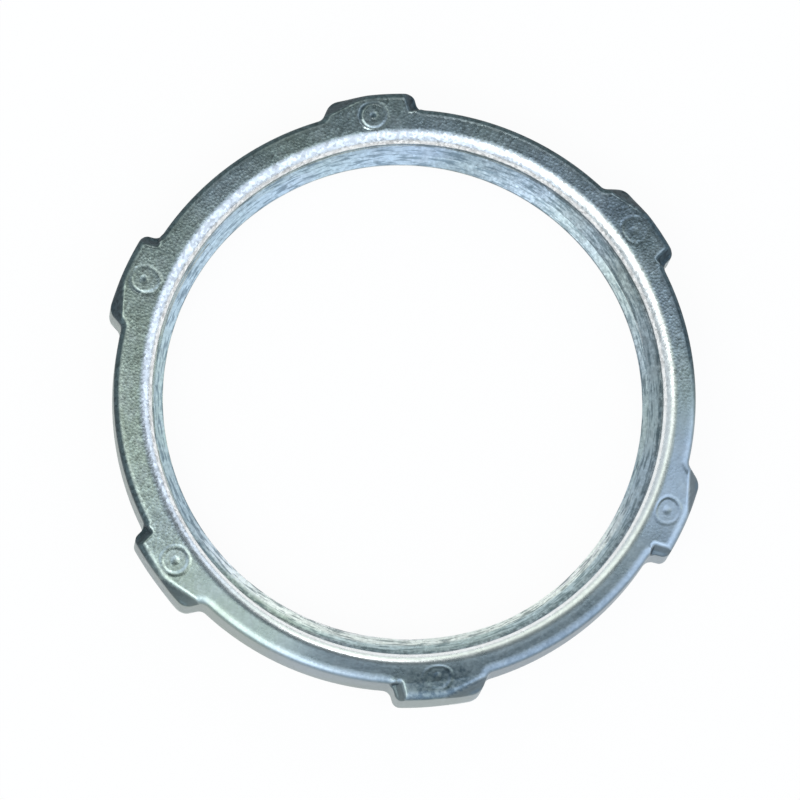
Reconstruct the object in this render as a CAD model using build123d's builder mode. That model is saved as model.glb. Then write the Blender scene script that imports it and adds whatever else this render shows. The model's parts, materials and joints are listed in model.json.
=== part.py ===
from build123d import *
import os
from math import cos, radians, sin, sqrt, tan

# Conduit locknut, 2 1/2 inch trade size: one piece of zinc-plated steel.
# A threaded ring carries six lugs. The trailing corner of each lug is folded down into a tooth that bites
# the box when the nut is driven home, and the leading corner is folded down a little.
# Millimetres, +Z up. The nut lies on its teeth, with the face that looks away from the box on top.
# The origin is on the axis of the thread, level with the tips of the teeth. A lug stands on the +X axis.

# Thread: straight pipe thread for locknuts, 8 turns to the inch, here as its bore without the turns
thread_minor_radius = 34.52
thread_depth = 2.02
thread_relief = 0.10
countersink_slope = 38.0

# Ring: a rounded shoulder leads down into the bore, and outside it lie the flat face and its rounded rim
body_height = 8.7
shoulder_round = 1.95
face_width = 3.11
upper_edge_round = 0.85
lower_edge_chamfer = 0.3

# Lugs
lug_count = 6
lug_height = 2.35
lug_root_width = 13.9
leading_flank_lean = 0.35
trailing_flank_lean = 1.4
lug_root_round = 1.4
leading_corner_round = 1.2
trailing_corner_round = 2.2

# Long fold, which turns down the trailing corner across about half of the lug
long_fold_inset = 0.45
long_fold_offset = 0.4
long_fold_slant = 20.0
long_fold_run = 1.25
long_fold_drop = 1.7

# Short fold, which turns down the leading corner along the flank of the lug
short_fold_inset = 1.5
short_fold_run = 1.0
short_fold_drop = 1.3

# Both folds
fold_crest_round = 0.6
fold_foot_round = 0.5
ledge_slope = 14.0

# Tooth under the trailing corner
tooth_drop = 0.8
tooth_setback = 0.5
tooth_run = 0.9

# Heights and radii that follow from the sizes above
bearing_z = tooth_drop
top_z = bearing_z + body_height
shoulder_z = top_z - shoulder_round
relief_radius = thread_minor_radius + thread_depth + thread_relief
countersink_height = (relief_radius - thread_minor_radius) * tan(radians(countersink_slope))
face_inner_radius = relief_radius + shoulder_round
ring_outer_radius = face_inner_radius + face_width
lug_outer_radius = ring_outer_radius + lug_height
lug_reach = lug_outer_radius - face_inner_radius
beyond = 1.0


def point_at(radius, half_width):
    """The point on a circle about the axis that lies half_width to the side of the lug's centre line."""
    return (sqrt(radius**2 - half_width**2), half_width)


def toward(start, end):
    """The unit direction from one point of the plan to another."""
    step = Vector(*end) - Vector(*start)
    return step.normalized()


# Corners of the lug on the +X axis. The nut is driven clockwise seen from above, so it leads on the -Y side.
leading_root = point_at(ring_outer_radius, -lug_root_width / 2)
leading_tip = point_at(lug_outer_radius, leading_flank_lean - lug_root_width / 2)
trailing_tip = point_at(lug_outer_radius, lug_root_width / 2 - trailing_flank_lean)
trailing_root = point_at(ring_outer_radius, lug_root_width / 2)

# Plan of that lug, reaching in to the inner edge of the flat face
with BuildSketch() as lug_plan:
    with BuildLine():
        Polyline((face_inner_radius, leading_root[1]), leading_root, leading_tip)
        RadiusArc(leading_tip, trailing_tip, -lug_outer_radius)
        Polyline(trailing_tip, trailing_root, (face_inner_radius, trailing_root[1]))
        Line((face_inner_radius, trailing_root[1]), (face_inner_radius, leading_root[1]))
    make_face()
    fillet(lug_plan.vertices().sort_by_distance(leading_tip)[0], leading_corner_round)
    fillet(lug_plan.vertices().sort_by_distance(trailing_tip)[0], trailing_corner_round)

# Plan of the whole nut: the ring's disc and the lugs, with a round at each root
with BuildSketch() as nut_plan:
    Circle(ring_outer_radius)
    with PolarLocations(0, lug_count):
        add(lug_plan.sketch)
    root_distance = Vector(*trailing_root).length
    roots = nut_plan.vertices().filter_by(
        lambda v: abs(Vector(v.X, v.Y).length - root_distance) < 0.01
    )
    fillet(roots, lug_root_round)

# The ring by itself, with its upper edge rounded: what the folds of the lugs must not cut into
with BuildPart() as ring_body:
    with BuildSketch(Plane.XY.offset(bearing_z)):
        Circle(ring_outer_radius)
    extrude(amount=body_height)
    fillet(ring_body.faces().sort_by(Axis.Z)[-1].edges(), upper_edge_round)


def fold_plane(origin, across):
    """The upright plane across a fold: its x runs square to the fold towards the corner, its y runs up."""
    return Plane(origin=(*origin, top_z), x_dir=across, z_dir=(across.Y, -across.X, 0))


def space_over_fold(plane, start, end, run, drop):
    """The space above a folded corner: a rounded step down, then a ledge that falls to the lug's edge."""
    ledge_end = run + lug_reach
    with BuildPart() as space:
        with BuildSketch(plane.offset(start)) as profile:
            with BuildLine():
                Polyline(
                    (-beyond, 0),
                    (0, 0),
                    (run, -drop),
                    (ledge_end, -drop - lug_reach * tan(radians(ledge_slope))),
                    (ledge_end, beyond),
                    (-beyond, beyond),
                    close=True,
                )
            make_face()
            fillet(profile.vertices().sort_by_distance((0, 0))[0], fold_crest_round)
            fillet(profile.vertices().sort_by_distance((run, -drop))[0], fold_foot_round)
        extrude(amount=end - start)
        add(ring_body.part, mode=Mode.SUBTRACT)
    return space.part


# Long fold: from a point on the rim of the lug near its middle, slanting in to the trailing root
slant = radians(long_fold_slant)
long_across = Vector(cos(slant), sin(slant))
long_origin = (lug_outer_radius - long_fold_inset, long_fold_offset)
long_plane = fold_plane(long_origin, long_across)
long_root_run = (trailing_root[1] - long_fold_offset) / cos(slant)
long_fold_space = space_over_fold(
    long_plane, -long_root_run, lug_reach, long_fold_run, long_fold_drop
)

# Short fold: along the leading flank, set in from it
flank = toward(leading_root, leading_tip)
short_across = Vector(flank.Y, -flank.X)
short_origin = Vector(*leading_root) - short_across * short_fold_inset
short_plane = fold_plane((short_origin.X, short_origin.Y), short_across)
short_fold_space = space_over_fold(
    short_plane, -lug_reach, 0, short_fold_run, short_fold_drop
)

# Tooth: the same corner seen from below, stepped down past the bearing face and cut to the lug's plan
with BuildPart() as tooth:
    with BuildSketch(long_plane.offset(-long_root_run)):
        with BuildLine():
            Polyline(
                (tooth_setback, bearing_z + beyond - top_z),
                (tooth_setback, bearing_z - top_z),
                (tooth_setback + tooth_run, -top_z),
                (lug_reach + beyond, -top_z),
                (lug_reach + beyond, bearing_z + beyond - top_z),
                close=True,
            )
        make_face()
    extrude(amount=long_root_run + lug_reach)
    extrude(lug_plan.sketch, amount=top_z, mode=Mode.INTERSECT)

with BuildPart() as locknut:
    # Blank, with its upper rim rounded and its lower rim broken
    with BuildSketch(Plane.XY.offset(bearing_z)):
        add(nut_plan.sketch)
    extrude(amount=body_height)
    fillet(locknut.faces().sort_by(Axis.Z)[-1].edges(), upper_edge_round)
    chamfer(locknut.faces().sort_by(Axis.Z)[0].edges(), lower_edge_chamfer)

    # Folded corners and teeth
    with PolarLocations(0, lug_count):
        add(long_fold_space, mode=Mode.SUBTRACT)
        add(short_fold_space, mode=Mode.SUBTRACT)
        add(tooth.part)

    # Hole: a rounded shoulder on top, a countersink, the thread's bore, and a countersink below
    with BuildSketch(Plane.XZ):
        with BuildLine():
            Polyline(
                (0, -beyond),
                (relief_radius, -beyond),
                (relief_radius, bearing_z),
                (thread_minor_radius, bearing_z + countersink_height),
                (thread_minor_radius, shoulder_z - countersink_height),
                (relief_radius, shoulder_z),
            )
            RadiusArc(
                (relief_radius, shoulder_z), (face_inner_radius, top_z), shoulder_round
            )
            Polyline(
                (face_inner_radius, top_z),
                (face_inner_radius, top_z + beyond),
                (0, top_z + beyond),
                (0, -beyond),
            )
        make_face()
    revolve(axis=Axis.Z, mode=Mode.SUBTRACT)

locknut.part.label = "locknut"

os.makedirs("parts", exist_ok=True)
export_step(locknut.part, "parts/locknut.step")
print(f"locknut: {locknut.part.volume:.0f} mm3, {len(locknut.faces())} faces")
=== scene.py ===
import sys

import json
import logging
import math
from dataclasses import dataclass, field
from enum import Enum

import bmesh
import bpy
import numpy as np
from mathutils import Matrix, Vector


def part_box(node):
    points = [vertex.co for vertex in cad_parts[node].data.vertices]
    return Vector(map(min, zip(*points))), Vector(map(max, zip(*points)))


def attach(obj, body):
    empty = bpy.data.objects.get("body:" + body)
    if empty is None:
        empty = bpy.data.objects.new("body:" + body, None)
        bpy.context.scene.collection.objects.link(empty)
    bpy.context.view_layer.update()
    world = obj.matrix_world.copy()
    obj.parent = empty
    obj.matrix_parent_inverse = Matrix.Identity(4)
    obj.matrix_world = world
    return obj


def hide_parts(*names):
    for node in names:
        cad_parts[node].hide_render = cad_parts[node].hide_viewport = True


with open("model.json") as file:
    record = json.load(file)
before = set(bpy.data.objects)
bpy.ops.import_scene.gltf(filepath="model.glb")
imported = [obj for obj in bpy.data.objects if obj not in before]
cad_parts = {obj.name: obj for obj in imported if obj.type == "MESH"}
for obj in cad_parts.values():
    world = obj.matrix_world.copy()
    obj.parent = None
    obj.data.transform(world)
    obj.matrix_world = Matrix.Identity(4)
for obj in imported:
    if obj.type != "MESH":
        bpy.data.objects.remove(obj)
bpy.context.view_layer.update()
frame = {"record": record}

log = logging.getLogger("locknut")

MM = 0.001
LUGS = 6
SECTOR = 2 * math.pi / LUGS
# Points that draw one rounded corner
ROUND_POINTS = 13
# How near an edge, in millimetres, a point still counts as lying on it
HAIR = 0.02


def srgb(code: str) -> tuple[float, float, float, float]:
    """Turns an sRGB hex value into linear colour.

    Args:
        code: Six hex digits after a hash.

    Returns:
        Red, green, blue and alpha for a shader socket.
    """
    parts = [int(code[i : i + 2], 16) / 255 for i in (1, 3, 5)]
    linear = [c / 12.92 if c <= 0.04045 else ((c + 0.055) / 1.055) ** 2.4 for c in parts]
    return (*linear, 1.0)


def per_metre(size_mm: float) -> float:
    """Returns the texture scale at which one feature is size_mm long."""
    return 1.0 / (size_mm * MM)


def add_node(
    tree: bpy.types.NodeTree,
    kind: str,
    settings: dict | None = None,
    links: dict | None = None,
) -> bpy.types.Node:
    """Adds one node with its settings and links.

    Args:
        tree: The node tree that gets the node.
        kind: The node's type name.
        settings: Values by the name of a property or of an input socket.
        links: Output sockets by the name or number of the input that they feed.

    Returns:
        The new node.
    """
    node = tree.nodes.new(kind)
    for name, value in (settings or {}).items():
        if isinstance(name, str) and hasattr(node, name):
            setattr(node, name, value)
        else:
            node.inputs[name].default_value = value
    for name, socket in (links or {}).items():
        tree.links.new(socket, node.inputs[name])
    return node


def new_material(name: str) -> tuple[bpy.types.Material, bpy.types.NodeTree]:
    """Makes an empty node material.

    Args:
        name: The finish's name.

    Returns:
        The material and its cleared node tree.
    """
    material = bpy.data.materials.new(name)
    material.use_nodes = True
    material.node_tree.nodes.clear()
    return material, material.node_tree


def add_object(name: str, data: bpy.types.ID) -> bpy.types.Object:
    """Adds an object to the scene.

    Args:
        name: Its name.
        data: Its mesh, camera or lamp.

    Returns:
        The object.
    """
    thing = bpy.data.objects.new(name, data)
    bpy.context.collection.objects.link(thing)
    return thing


def rounded_line(corners: list[tuple[float, float]], rounds: list[float]) -> np.ndarray:
    """Rounds the inner corners of a polyline.

    Args:
        corners: The corners of the line in order.
        rounds: The radius at each inner corner, so two fewer than there are corners.

    Returns:
        The rounded line as an array of points.
    """
    points = [np.array(corners[0], float)]
    for before, corner, after, radius in zip(corners, corners[1:], corners[2:], rounds):
        corner = np.array(corner, float)
        back = np.array(before, float) - corner
        ahead = np.array(after, float) - corner
        back /= np.linalg.norm(back)
        ahead /= np.linalg.norm(ahead)
        half = math.acos(float(np.clip(back @ ahead, -1, 1))) / 2
        if radius <= 0 or half > math.pi / 2 - 1e-4:
            points.append(corner)
            continue
        middle = back + ahead
        centre = corner + middle / np.linalg.norm(middle) * radius / math.sin(half)
        start = corner + back * radius / math.tan(half) - centre
        end = corner + ahead * radius / math.tan(half) - centre
        swing = math.atan2(start[0] * end[1] - start[1] * end[0], start @ end)
        for part in np.linspace(0, 1, ROUND_POINTS):
            c, s = math.cos(swing * part), math.sin(swing * part)
            turned = np.array([c * start[0] - s * start[1], s * start[0] + c * start[1]])
            points.append(centre + turned)
    points.append(np.array(corners[-1], float))
    return np.array(points)


def soft_min(a: np.ndarray, b: np.ndarray, width: float | np.ndarray) -> np.ndarray:
    """Returns the lower of two heights, with the crease between them rounded over width."""
    blend = np.clip(width - np.abs(a - b), 0, None) / width
    return np.minimum(a, b) - blend**2 * width / 4


def soft_max(a: np.ndarray, b: np.ndarray, width: float | np.ndarray) -> np.ndarray:
    """Returns the higher of two heights, with the crease between them rounded over width."""
    return -soft_min(-a, -b, width)


def smooth(share: np.ndarray) -> np.ndarray:
    """Returns shares from 0 to 1 with both ends eased."""
    return share * share * (3 - 2 * share)


def away(angle: np.ndarray, middle_degrees: float) -> np.ndarray:
    """Returns how many degrees round the nut angles in radians lie from a middle one in degrees."""
    return np.abs((np.degrees(angle) - middle_degrees + 180) % 360 - 180)


@dataclass(frozen=True)
class Ramp:
    """A share that runs straight from 0 at one value to 1 at another, higher or lower one."""

    zero: float
    one: float

    def share(self, value: np.ndarray) -> np.ndarray:
        """Returns the share at each value."""
        return np.clip((value - self.zero) / (self.one - self.zero), 0, 1)


class Flank(Enum):
    """The sides of a lug. The nut is driven clockwise seen from above, so it leads on the -Y side."""

    LEADING = -1
    TRAILING = 1


@dataclass
class LugOutline:
    """The plan of one sixth of the nut, in millimetres, with its lug on the +X axis."""

    ring_radius: float = 41.70
    lug_radius: float = 44.05
    root_width: float = 13.9
    lean: dict[Flank, float] = field(
        default_factory=lambda: {Flank.LEADING: 0.35, Flank.TRAILING: 1.4}
    )
    root_round: float = 1.4
    corner_round: dict[Flank, float] = field(
        default_factory=lambda: {Flank.LEADING: 1.2, Flank.TRAILING: 2.2}
    )
    tip_step: float = 0.135
    ring_step_degrees: float = 1.5
    flank_points: int = 5
    root_points: int = 11

    def flank(self, side: Flank) -> tuple[np.ndarray, np.ndarray]:
        """Finds the two ends of a flank before its rounds.

        Args:
            side: Which flank.

        Returns:
            Its root point and its tip point.
        """
        ends = []
        for radius, half in (
            (self.ring_radius, self.root_width / 2),
            (self.lug_radius, self.root_width / 2 - self.lean[side]),
        ):
            ends.append(np.array([math.sqrt(radius**2 - half**2), half * side.value]))
        return ends[0], ends[1]

    def rounds(self, side: Flank) -> tuple[np.ndarray, np.ndarray, np.ndarray]:
        """Finds the centres of the two rounds of a flank.

        Args:
            side: Which flank.

        Returns:
            The centre of the tip corner's round, that of the root's round, and the flank's outward normal.
        """
        root, tip = self.flank(side)
        along = (tip - root) / np.linalg.norm(tip - root)
        normal = np.array([-along[1], along[0]]) * side.value
        reach = float(normal @ root)
        radius = self.corner_round[side]
        centres = []
        for offset, distance in (
            (reach - radius, self.lug_radius - radius),
            (reach + self.root_round, self.ring_radius + self.root_round),
        ):
            centres.append(offset * normal + math.sqrt(distance**2 - offset**2) * along)
        return centres[0], centres[1], normal

    def half(self, side: Flank) -> np.ndarray:
        """Follows the outline from the middle of the lug's tip to the middle of the ring's arc.

        Args:
            side: To which side it goes.

        Returns:
            The points in order.
        """
        corner, root, normal = self.rounds(side)
        flank_angle = math.atan2(normal[1], normal[0])
        corner_angle = math.atan2(corner[1], corner[0])
        root_angle = math.atan2(root[1], root[0])
        points = []
        count = max(2, round(abs(corner_angle) * self.lug_radius / self.tip_step))
        for a in np.linspace(0, corner_angle, count + 1):
            points.append([self.lug_radius * math.cos(a), self.lug_radius * math.sin(a)])
        radius = self.corner_round[side]
        for a in np.linspace(corner_angle, flank_angle, ROUND_POINTS)[1:]:
            points.append(list(corner + radius * np.array([math.cos(a), math.sin(a)])))
        start = np.array(points[-1])
        end = root - normal * self.root_round
        for part in np.linspace(0, 1, self.flank_points)[1:]:
            points.append(list(start + (end - start) * part))
        inward = root_angle + math.pi * side.value
        first = flank_angle + math.pi * side.value
        first += 2 * math.pi * round((inward - first) / (2 * math.pi))
        for a in np.linspace(first, inward, self.root_points)[1:]:
            points.append(list(root + self.root_round * np.array([math.cos(a), math.sin(a)])))
        sector_end = SECTOR / 2 * side.value
        count = round(math.degrees(abs(sector_end - root_angle)) / self.ring_step_degrees)
        for a in np.linspace(root_angle, sector_end, count + 1)[1:]:
            points.append([self.ring_radius * math.cos(a), self.ring_radius * math.sin(a)])
        return np.array(points)

    def samples(self) -> np.ndarray:
        """Follows the outline of the whole sector.

        Returns:
            Its points counter-clockwise, from -30 degrees to just before +30 degrees.
        """
        leading = self.half(Flank.LEADING)[::-1]
        trailing = self.half(Flank.TRAILING)[1:-1]
        return np.vstack([leading, trailing])

    def depth_inside(self, x: np.ndarray, y: np.ndarray) -> np.ndarray:
        """Measures how far points inside the outline lie from it.

        Args:
            x: Their x, in millimetres.
            y: Their y.

        Returns:
            The distances, with the shape of x.
        """
        line = np.vstack([self.samples(), [self.half(Flank.TRAILING)[-1]]])
        start, step = line[:-1], np.diff(line, axis=0)
        flat = np.stack([x.ravel(), y.ravel()], axis=1)
        best = np.full(len(flat), math.inf)
        for origin, move in zip(start, step):
            part = np.clip((flat - origin) @ move / (move @ move), 0, 1)
            gap = np.linalg.norm(flat - origin - part[:, None] * move, axis=1)
            best = np.minimum(best, gap)
        return best.reshape(x.shape)


@dataclass
class Fold:
    """A corner of a lug that is bent down: a rounded crest, a steep step and a ledge, in millimetres."""

    origin: np.ndarray
    across: np.ndarray
    start: float
    end: float
    run: float
    drop: float
    crest_round: float = 0.6
    foot_round: float = 0.5
    ledge_slope_degrees: float = 14.0
    fade: float = 0.45

    def measure(self, x: np.ndarray, y: np.ndarray) -> tuple[np.ndarray, np.ndarray]:
        """Returns how far points lie past the fold's line, and how far along it."""
        dx, dy = x - self.origin[0], y - self.origin[1]
        return dx * self.across[0] + dy * self.across[1], dx * self.across[1] - dy * self.across[0]

    def height(self, x: np.ndarray, y: np.ndarray) -> np.ndarray:
        """Works out the fold's surface.

        Args:
            x: Points' x, in millimetres.
            y: Points' y.

        Returns:
            How far the surface stands below the lug's flat top, as numbers of 0 or less.
        """
        reach = 8.0
        ledge_fall = reach * math.tan(math.radians(self.ledge_slope_degrees))
        line = rounded_line(
            [
                (-reach, 0),
                (0, 0),
                (self.run, -self.drop),
                (self.run + reach, -self.drop - ledge_fall),
            ],
            [self.crest_round, self.foot_round],
        )
        over, along = self.measure(x, y)
        fall = np.interp(over, line[:, 0], line[:, 1])
        inside = np.clip((along - self.start) / self.fade + 0.5, 0, 1)
        inside *= np.clip((self.end - along) / self.fade + 0.5, 0, 1)
        return fall * smooth(inside)


@dataclass
class Tooth:
    """The step under the trailing corner that bites the box, in millimetres."""

    drop: float = 0.8
    setback: float = 0.5
    run: float = 0.9
    round: float = 0.15
    edge_round: float = 0.1
    fade: float = 0.2

    def depth(self, over: np.ndarray) -> np.ndarray:
        """Works out how far the tooth stands below the bearing face.

        Args:
            over: Points' distance past the fold's line, in millimetres.

        Returns:
            The depth of the tooth at each point.
        """
        reach, foot = 15.0, self.setback + self.run
        line = rounded_line(
            [(-reach, 0), (self.setback, 0), (foot, -self.drop), (reach, -self.drop)],
            [self.round, self.round],
        )
        return -np.interp(over, line[:, 0], line[:, 1])


@dataclass
class PunchMark:
    """A plain round punch mark on each lug: a ring with a dimple in it, in millimetres."""

    radius_on_nut: float = 40.8
    angle_degrees: float = -0.6
    ring_radius: float = 1.95
    ring_width: float = 0.8
    ring_depth: float = 0.08
    dimple_radius: float = 0.7
    dimple_depth: float = 0.12
    lean: float = 0.45
    lean_skew: float = 0.4
    softness: float = 1.5

    def depth(self, x: np.ndarray, y: np.ndarray) -> np.ndarray:
        """Works out the mark's hollow.

        Args:
            x: Points' x, in millimetres.
            y: Points' y.

        Returns:
            How deep the mark is at each point.
        """
        angle = math.radians(self.angle_degrees)
        dx, dy = x - self.radius_on_nut * math.cos(angle), y - self.radius_on_nut * math.sin(angle)
        gap = np.hypot(dx, dy)
        groove = np.clip(1 - (2 * (gap - self.ring_radius) / self.ring_width) ** 2, 0, None)
        off_level = 1 + self.lean * (dy - self.lean_skew * dx) / self.ring_radius
        dimple = np.clip(1 - (gap / self.dimple_radius) ** 2, 0, None)
        groove, dimple = groove**self.softness, dimple**self.softness
        return self.ring_depth * groove * off_level + self.dimple_depth * dimple


@dataclass
class ThreadForm:
    """A right-hand straight pipe thread of 8 turns to the inch, in millimetres."""

    minor_radius: float = 34.52
    depth: float = 2.02
    pitch: float = 25.4 / 8
    flank_degrees: float = 30.0
    crest_round: float = 0.09
    root_round: float = 0.12
    # The mesh has a row at this distance from each corner of the profile, and these many along a flank.
    corner_span: float = 0.07
    flank_rows: int = 6

    def flat(self) -> float:
        """Returns the width of a crest, which is also that of a root."""
        return self.pitch / 2 - self.depth * math.tan(math.radians(self.flank_degrees))

    def keys(self) -> np.ndarray:
        """Chooses where the profile is sampled.

        Returns:
            Heights within one turn, from just below the middle of one crest up to the next.
        """
        half, middle, span = self.flat() / 2, self.pitch / 2, self.corner_span
        inner = half * 0.4
        crest = [-half - span, -half, -inner, inner, half, half + span]
        root = [middle - half - span, middle - half, middle, middle + half, middle + half + span]
        rising = np.linspace(crest[-1], root[0], self.flank_rows)[1:-1]
        falling = np.linspace(root[-1], self.pitch + crest[0], self.flank_rows)[1:-1]
        return np.array([*crest, *rising, *root, *falling])

    def radius(self, height: float) -> float:
        """Works out the profile's radius at one height.

        Args:
            height: The height above the middle of a crest, in millimetres.

        Returns:
            The radius.
        """
        half, middle = self.flat() / 2, self.pitch / 2
        from_crest = abs((height + middle) % self.pitch - middle)
        line = rounded_line(
            [(-0.5, 0), (half, 0), (middle - half, self.depth), (self.pitch, self.depth)],
            [self.crest_round, self.root_round],
        )
        return self.minor_radius + float(np.interp(from_crest, line[:, 0], line[:, 1]))


class Mark(Enum):
    """What the mesh tells the finish, by the name of the attribute that holds each point's share.

    They are painted shade in the thread's roots, rough rims with painted shade, painted shade on the folded
    corners' steps, painted shade on some lugs and in the dish, painted highlights, cut metal, and how much of
    the plating's grain shows.
    """

    # Painted shade in the roots of the thread
    PAINTED_ROOT_SHADE = "shelter"
    # Rougher rims that also carry painted shade
    ROUGH_RIM_PAINTED_SHADE = "pressed"
    # Painted shade on the steps of the folded corners
    FOLDED_STEP_SHADE = "folded"
    # Painted shade on some lugs and in the dish
    PAINTED_DARK_PATCH = "stain"
    # Painted highlight on the crests and the shoulder
    PAINTED_HIGHLIGHT = "burnished"
    CUT = "cut"
    # The plating's grain, and with it painted shade on one side
    GRAIN_AND_SIDE_SHADE = "grainy"


@dataclass(frozen=True)
class ZincPlate:
    """Electroplated zinc with a clear blue chromate over steel formed in a press.

    Bright plating levels only a little of the rolled and press-formed surface under it, so it is a satin metal
    with fine grains that sparkle, soft mottling from the dip, and a faint tint that runs from green to blue.
    """

    cool: str = "#BCCBD6"
    warm: str = "#BAC8BF"
    pale: str = "#D3DCE0"
    # Painted shade in the roots of the thread
    root_shade_tone: str = "#3A474C"
    # Painted highlight on the crests and the shoulder
    highlight_tone: str = "#F4F7F8"
    # Painted shade on the rims
    rim_shade_tone: str = "#4E5D62"
    # Painted shade on the steps of the folded corners
    step_shade_tone: str = "#465359"
    # Painted shade on some lugs and in the dish
    dark_patch_tone: str = "#506370"
    line_tone: str = "#5E7078"
    line_share: float = 0.65
    roughness_low: float = 0.26
    roughness_high: float = 0.31
    sheared_roughness: float = 0.55
    speckle_depth: float = 0.7
    tint_mm: float = 26.0
    mottle_mm: float = 3.2
    # The plated grain is about 0.1 mm. It is drawn at about 0.4 mm so that it shows at this distance.
    grain_mm: float = 0.4
    orange_peel_mm: float = 0.7
    # The tap's lines are about 0.1 mm apart. They are drawn at about 0.5 mm, six times as long as wide.
    tool_line_mm: float = 0.5
    tool_line_run: float = 6.0
    bore_radius_mm: float = 36.0
    grain_height_mm: float = 0.03
    grain_bump: float = 0.75
    peel_height_mm: float = 0.02
    peel_bump: float = 0.3

    def tool_lines(self, tree: bpy.types.NodeTree, place: bpy.types.NodeSocket) -> bpy.types.NodeSocket:
        """Adds the lines that the tap leaves round the bore.

        Args:
            tree: The material's node tree.
            place: The socket of the object's coordinates.

        Returns:
            The socket of the lines' noise.
        """
        split = add_node(tree, "ShaderNodeSeparateXYZ", None, {0: place}).outputs
        level = add_node(tree, "ShaderNodeCombineXYZ", None, {0: split["X"], 1: split["Y"]})
        radius = add_node(
            tree, "ShaderNodeVectorMath", {"operation": "LENGTH"}, {0: level.outputs[0]}
        )
        way = add_node(tree, "ShaderNodeVectorMath", {"operation": "NORMALIZE"}, {0: level.outputs[0]})
        round_bore = add_node(
            tree,
            "ShaderNodeVectorMath",
            {"operation": "SCALE", "Scale": self.bore_radius_mm * MM / self.tool_line_run},
            {0: way.outputs["Vector"]},
        )
        across = add_node(
            tree, "ShaderNodeMath", {"operation": "ADD"}, {0: radius.outputs["Value"], 1: split["Z"]}
        )
        rise = add_node(tree, "ShaderNodeCombineXYZ", None, {2: across.outputs[0]})
        drawn = add_node(
            tree,
            "ShaderNodeVectorMath",
            {"operation": "ADD"},
            {0: round_bore.outputs["Vector"], 1: rise.outputs[0]},
        )
        return add_node(
            tree,
            "ShaderNodeTexNoise",
            {"Scale": per_metre(self.tool_line_mm), "Detail": 2.0, "Roughness": 0.6},
            {"Vector": drawn.outputs["Vector"]},
        ).outputs["Fac"]

    def material(self) -> bpy.types.Material:
        """Builds the finish.

        Returns:
            The material.
        """
        material, tree = new_material("ZincPlate")
        place = add_node(tree, "ShaderNodeTexCoord").outputs["Object"]
        marks = {}
        for mark in Mark:
            node = add_node(tree, "ShaderNodeAttribute", {"attribute_name": mark.value})
            marks[mark] = node.outputs["Fac"]
        noise = {"lines": self.tool_lines(tree, place)}
        for name, size_mm, detail, roughness in (
            ("tint", self.tint_mm, 2.0, 0.5),
            ("mottle", self.mottle_mm, 3.0, 0.6),
            ("peel", self.orange_peel_mm, 4.0, 0.65),
        ):
            settings = {"Scale": per_metre(size_mm), "Detail": detail, "Roughness": roughness}
            node = add_node(tree, "ShaderNodeTexNoise", settings, {"Vector": place})
            noise[name] = node.outputs["Fac"]
        grain = add_node(
            tree,
            "ShaderNodeTexVoronoi",
            {"feature": "SMOOTH_F1", "Scale": per_metre(self.grain_mm), "Smoothness": 0.35},
            {"Vector": place},
        )

        # Each pattern's range, and the share, factor or roughness that it gives at the two ends of that range
        shares = {}
        for name, socket, low, high, least, most in (
            ("tint", noise["tint"], 0.38, 0.62, 0.0, 1.0),
            ("pale", noise["mottle"], 0.45, 0.75, 0.0, 0.45),
            ("stain", noise["peel"], 0.4, 0.6, 0.55, 1.0),
            ("dirt", noise["peel"], 0.4, 0.58, 0.45, 1.15),
            ("lines", noise["lines"], 0.5, 0.6, 0.0, self.line_share),
            ("speckle", grain.outputs["Color"], 0, 1, -0.7 * self.speckle_depth, 0.3 * self.speckle_depth),
            ("roughness", noise["mottle"], 0.3, 0.7, self.roughness_low, self.roughness_high),
        ):
            settings = {"From Min": low, "From Max": high, "To Min": least, "To Max": most}
            node = add_node(tree, "ShaderNodeMapRange", settings, {"Value": socket})
            shares[name] = node.outputs["Result"]
        # The painted shade in the roots and on some lugs is mottled, and the tap's lines show only in the bore
        for name, mark in (("stain", Mark.PAINTED_DARK_PATCH), ("dirt", Mark.PAINTED_ROOT_SHADE), ("lines", Mark.CUT)):
            settings = {"operation": "MULTIPLY", "use_clamp": True}
            node = add_node(tree, "ShaderNodeMath", settings, {0: marks[mark], 1: shares[name]})
            shares[name] = node.outputs[0]

        # The metal's tint, and over it each tone by its share: pale mottling, painted shade on rims and steps,
        # painted shade on some lugs and the dish, painted highlight, painted shade in the roots, and the tap's
        # lines
        base = add_node(
            tree,
            "ShaderNodeMix",
            {"data_type": "RGBA", 6: srgb(self.warm), 7: srgb(self.cool)},
            {0: shares["tint"]},
        )
        colour = base.outputs[2]
        for share, tone in (
            (shares["pale"], self.pale),
            (marks[Mark.ROUGH_RIM_PAINTED_SHADE], self.rim_shade_tone),
            (marks[Mark.FOLDED_STEP_SHADE], self.step_shade_tone),
            (shares["stain"], self.dark_patch_tone),
            (marks[Mark.PAINTED_HIGHLIGHT], self.highlight_tone),
            (shares["dirt"], self.root_shade_tone),
            (shares["lines"], self.line_tone),
        ):
            settings = {"data_type": "RGBA", 7: srgb(tone)}
            colour = add_node(tree, "ShaderNodeMix", settings, {0: share, 6: colour}).outputs[2]
        # The grain's speckle, which also darkens the colour, most on the side with painted shade
        level = add_node(
            tree,
            "ShaderNodeMath",
            {"operation": "MULTIPLY_ADD", 2: 1.0},
            {0: shares["speckle"], 1: marks[Mark.GRAIN_AND_SIDE_SHADE]},
        )
        speckled = add_node(
            tree,
            "ShaderNodeVectorMath",
            {"operation": "SCALE"},
            {0: colour, "Scale": level.outputs[0]},
        )

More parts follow.
